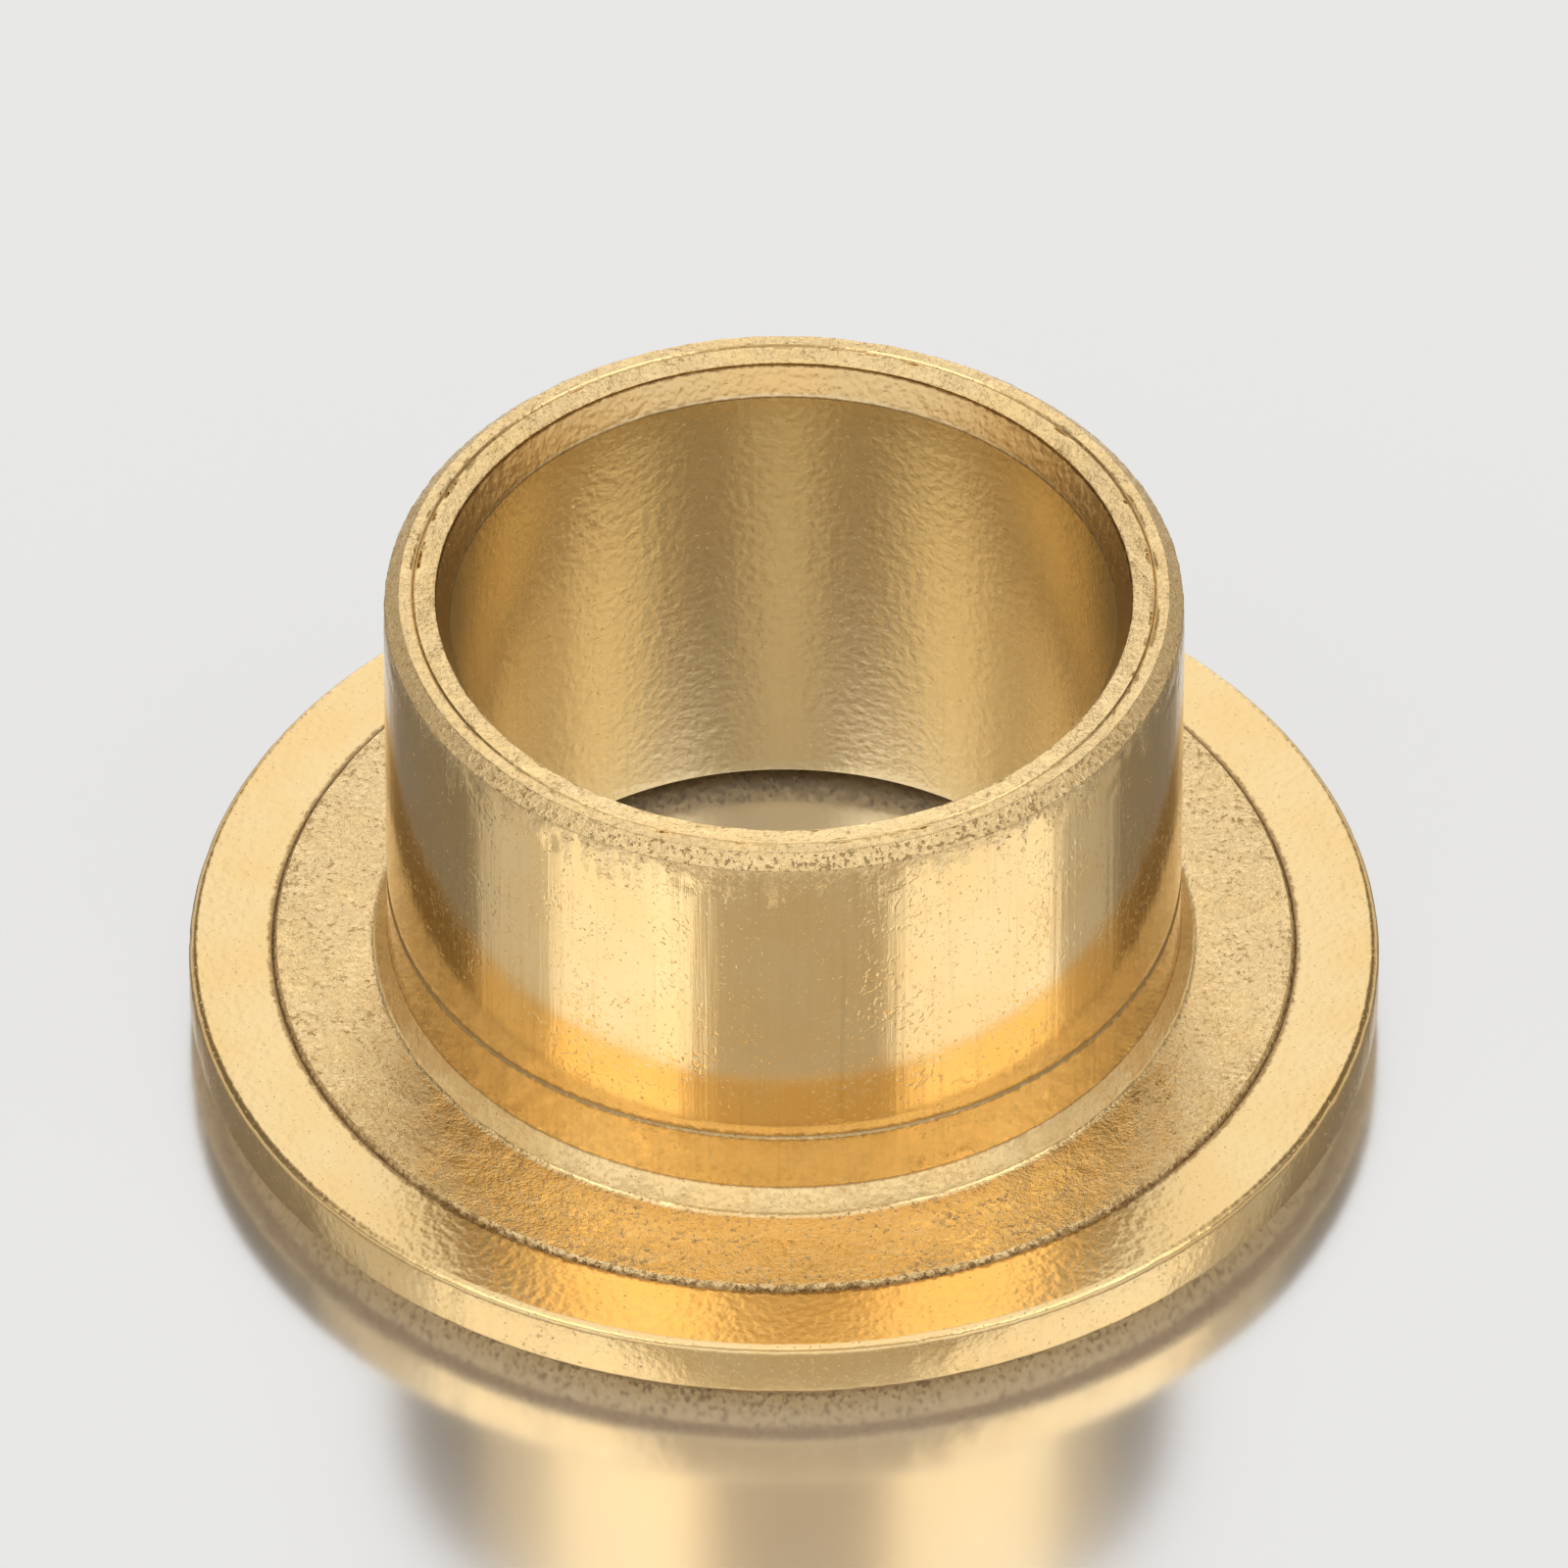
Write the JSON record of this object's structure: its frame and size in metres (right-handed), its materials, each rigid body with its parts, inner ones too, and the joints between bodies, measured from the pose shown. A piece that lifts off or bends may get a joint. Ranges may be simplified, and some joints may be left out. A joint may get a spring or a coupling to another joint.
{
  "type": "flanged bushing",
  "caption": "Thin-walled plain bearing: a straight sleeve with a plain through bore and a wide thin flange at one end, pressed and sintered from brass powder, for a shaft that turns.",
  "frame": {"origin": "centre of the flange's outer face, on which the bushing stands", "axes": "+Z along the bore's axis, from the flange's outer face up the sleeve to its free end; round about Z"},
  "size_m": [0.018, 0.018, 0.0085],
  "materials": {
    "sintered_brass": "sized bright and faintly streaked on the sleeve, bore and faces, grainy as sintered on the edges and at the root"
  },
  "bodies": {
    "root": {"flanged_bushing": "sintered_brass"}
  },
  "joints": []
}
